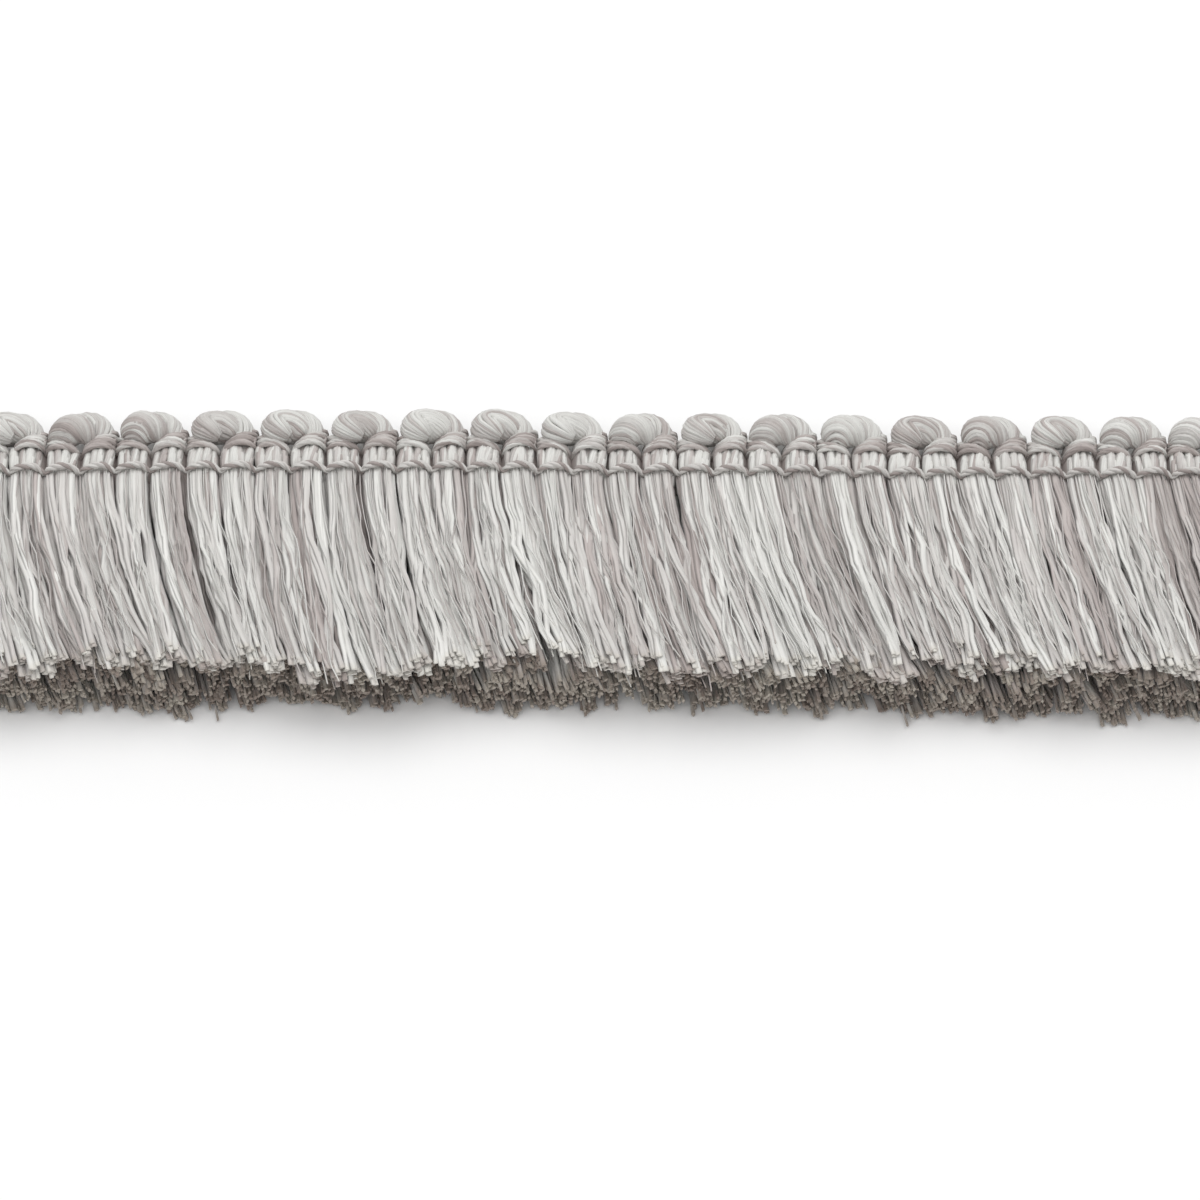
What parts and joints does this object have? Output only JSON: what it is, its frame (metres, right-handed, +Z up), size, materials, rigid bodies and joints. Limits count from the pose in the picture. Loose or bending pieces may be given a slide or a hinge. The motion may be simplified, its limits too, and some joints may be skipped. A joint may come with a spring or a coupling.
{
  "type": "brush fringe trim",
  "caption": "Cut length of brush fringe trim: a thick cut skirt of yarn under a narrow bound heading with a row of fat yarn loops along its top edge, lying flat on its back.",
  "frame": {"origin": "on the surface the trim lies on, below the middle of its box", "axes": "+X along the trim to the picture's right, +Y across it from the cut ends to the looped edge, +Z up from the surface"},
  "size_m": [0.1716, 0.0464, 0.0086],
  "materials": {
    "fringe_yarn": "soft silky mixed yarn in ivory, silver grey and taupe, cut ends darker",
    "heading_yarn": "the same yarn bound tight with thin taupe and ivory thread",
    "loop_yarn": "fat soft bundles of the same mixed yarn, slightly twisted"
  },
  "bodies": {
    "root": {"brush": "fringe_yarn", "heading": "heading_yarn", "loop_01": "loop_yarn", "loop_02": "loop_yarn", "loop_03": "loop_yarn", "loop_04": "loop_yarn", "loop_05": "loop_yarn", "loop_06": "loop_yarn", "loop_07": "loop_yarn", "loop_08": "loop_yarn", "loop_09": "loop_yarn", "loop_10": "loop_yarn", "loop_11": "loop_yarn", "loop_12": "loop_yarn", "loop_13": "loop_yarn", "loop_14": "loop_yarn", "loop_15": "loop_yarn", "loop_16": "loop_yarn", "loop_17": "loop_yarn", "loop_18": "loop_yarn", "loop_19": "loop_yarn"}
  },
  "joints": []
}
